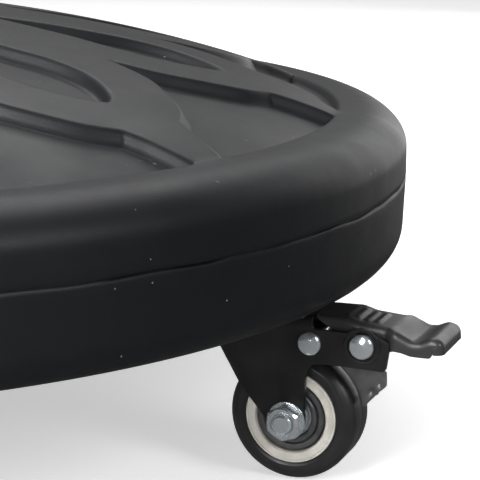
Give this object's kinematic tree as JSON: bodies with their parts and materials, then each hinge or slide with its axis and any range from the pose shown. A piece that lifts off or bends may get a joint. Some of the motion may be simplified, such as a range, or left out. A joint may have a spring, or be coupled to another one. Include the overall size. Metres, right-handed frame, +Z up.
{
  "type": "parasol base",
  "caption": "Round weighted parasol base with a petal relief on its domed top, a central standpipe with clamp knob, and small swivel casters, some with foot brakes.",
  "frame": {"origin": "on the pole axis at floor level, where the wheels stand", "axes": "+Z up along the pole; the clamp knob points along +X"},
  "size_m": [0.55, 0.55, 0.5048],
  "materials": {
    "casing": "matt grained moulding",
    "concrete": "rough cast",
    "black_plastic": "satin",
    "black_steel": "satin powder coat",
    "zinc": "bright zinc plate",
    "tyre": "smooth polyurethane",
    "wheel_white": "satin",
    "hub_grey": "dull grey plate"
  },
  "bodies": {
    "base": {"casing": "casing", "concrete_core": "concrete", "fill_plug": "black_plastic", "base_flange": "black_steel", "flange_bolt_1": "zinc", "flange_bolt_2": "zinc", "flange_bolt_3": "zinc", "flange_bolt_4": "zinc", "standpipe": "black_steel", "reducer_sleeve": "black_plastic", "clamp_boss": "black_steel", "caster_1_stem": "zinc", "caster_1_race": "black_steel", "caster_2_stem": "zinc", "caster_2_race": "black_steel", "caster_3_stem": "zinc", "caster_3_race": "black_steel", "caster_4_stem": "zinc", "caster_4_race": "black_steel"},
    "clamp_pad_body": {"clamp_pad": "zinc"},
    "clamp_knob_body": {"clamp_screw": "zinc", "clamp_knob": "black_plastic"},
    "caster_1_swivel": {"caster_1_fork": "black_steel", "caster_1_axle_bolt": "zinc", "caster_1_axle_nut": "zinc", "caster_1_rivet_shoe": "zinc", "caster_1_rivet_pedal": "zinc", "caster_1_spring": "zinc"},
    "caster_1_wheel": {"caster_1_tyre": "tyre", "caster_1_wheel_core": "wheel_white", "caster_1_bearing": "hub_grey"},
    "caster_1_pedal_body": {"caster_1_pedal": "black_steel"},
    "caster_1_shoe_body": {"caster_1_shoe": "hub_grey"},
    "caster_2_swivel": {"caster_2_fork": "black_steel", "caster_2_axle_bolt": "zinc", "caster_2_axle_nut": "zinc"},
    "caster_2_wheel": {"caster_2_tyre": "tyre", "caster_2_wheel_core": "wheel_white", "caster_2_bearing": "hub_grey"},
    "caster_3_swivel": {"caster_3_fork": "black_steel", "caster_3_axle_bolt": "zinc", "caster_3_axle_nut": "zinc", "caster_3_rivet_shoe": "zinc", "caster_3_rivet_pedal": "zinc", "caster_3_spring": "zinc"},
    "caster_3_wheel": {"caster_3_tyre": "tyre", "caster_3_wheel_core": "wheel_white", "caster_3_bearing": "hub_grey"},
    "caster_3_pedal_body": {"caster_3_pedal": "black_steel"},
    "caster_3_shoe_body": {"caster_3_shoe": "hub_grey"},
    "caster_4_swivel": {"caster_4_fork": "black_steel", "caster_4_axle_bolt": "zinc", "caster_4_axle_nut": "zinc"},
    "caster_4_wheel": {"caster_4_tyre": "tyre", "caster_4_wheel_core": "wheel_white", "caster_4_bearing": "hub_grey"}
  },
  "joints": [
    {"name": "clamp_travel", "type": "slide", "parent": "base", "child": "clamp_pad_body", "axis": [1, 0, 0], "range_m": [-0.006, 0]},
    {"name": "clamp_turn", "type": "hinge", "parent": "clamp_pad_body", "child": "clamp_knob_body", "pos_m": [0.04, 0, 0.452], "axis": [1, 0, 0], "range_deg": [-1440, 0]},
    {"name": "caster_1_swivel_turn", "type": "hinge", "parent": "base", "child": "caster_1_swivel", "pos_m": [0.18324, -0.13313, 0.065], "axis": [0, 0, 1], "continuous": true},
    {"name": "caster_1_wheel_spin", "type": "hinge", "parent": "caster_1_swivel", "child": "caster_1_wheel", "pos_m": [0.19942, -0.14489, 0.025], "axis": [0.5878, 0.809, 0], "continuous": true},
    {"name": "caster_1_pedal_press", "type": "hinge", "parent": "caster_1_swivel", "child": "caster_1_pedal_body", "pos_m": [0.22248, -0.16164, 0.057], "axis": [0.5878, 0.809, 0], "range_deg": [0, 20]},
    {"name": "caster_1_shoe_press", "type": "hinge", "parent": "caster_1_swivel", "child": "caster_1_shoe_body", "pos_m": [0.20614, -0.14977, 0.056], "axis": [0.5878, 0.809, 0], "range_deg": [0, 5]},
    {"name": "caster_2_swivel_turn", "type": "hinge", "parent": "base", "child": "caster_2_swivel", "pos_m": [0.13313, 0.18324, 0.065], "axis": [0, 0, 1], "continuous": true},
    {"name": "caster_2_wheel_spin", "type": "hinge", "parent": "caster_2_swivel", "child": "caster_2_wheel", "pos_m": [0.14489, 0.19942, 0.025], "axis": [-0.809, 0.5878, 0], "continuous": true},
    {"name": "caster_3_swivel_turn", "type": "hinge", "parent": "base", "child": "caster_3_swivel", "pos_m": [-0.18324, 0.13313, 0.065], "axis": [0, 0, 1], "continuous": true},
    {"name": "caster_3_wheel_spin", "type": "hinge", "parent": "caster_3_swivel", "child": "caster_3_wheel", "pos_m": [-0.19942, 0.14489, 0.025], "axis": [-0.5878, -0.809, 0], "continuous": true},
    {"name": "caster_3_pedal_press", "type": "hinge", "parent": "caster_3_swivel", "child": "caster_3_pedal_body", "pos_m": [-0.22248, 0.16164, 0.057], "axis": [-0.5878, -0.809, 0], "range_deg": [0, 20]},
    {"name": "caster_3_shoe_press", "type": "hinge", "parent": "caster_3_swivel", "child": "caster_3_shoe_body", "pos_m": [-0.20614, 0.14977, 0.056], "axis": [-0.5878, -0.809, 0], "range_deg": [0, 5]},
    {"name": "caster_4_swivel_turn", "type": "hinge", "parent": "base", "child": "caster_4_swivel", "pos_m": [-0.13313, -0.18324, 0.065], "axis": [0, 0, 1], "continuous": true},
    {"name": "caster_4_wheel_spin", "type": "hinge", "parent": "caster_4_swivel", "child": "caster_4_wheel", "pos_m": [-0.14489, -0.19942, 0.025], "axis": [0.809, -0.5878, 0], "continuous": true}
  ],
  "couplings": [
    {"joint": "clamp_travel", "follows": "clamp_turn", "m_per_rad": 0.00023873},
    {"joint": "caster_1_shoe_press", "follows": "caster_1_pedal_press", "ratio": 0.25},
    {"joint": "caster_3_shoe_press", "follows": "caster_3_pedal_press", "ratio": 0.25}
  ]
}
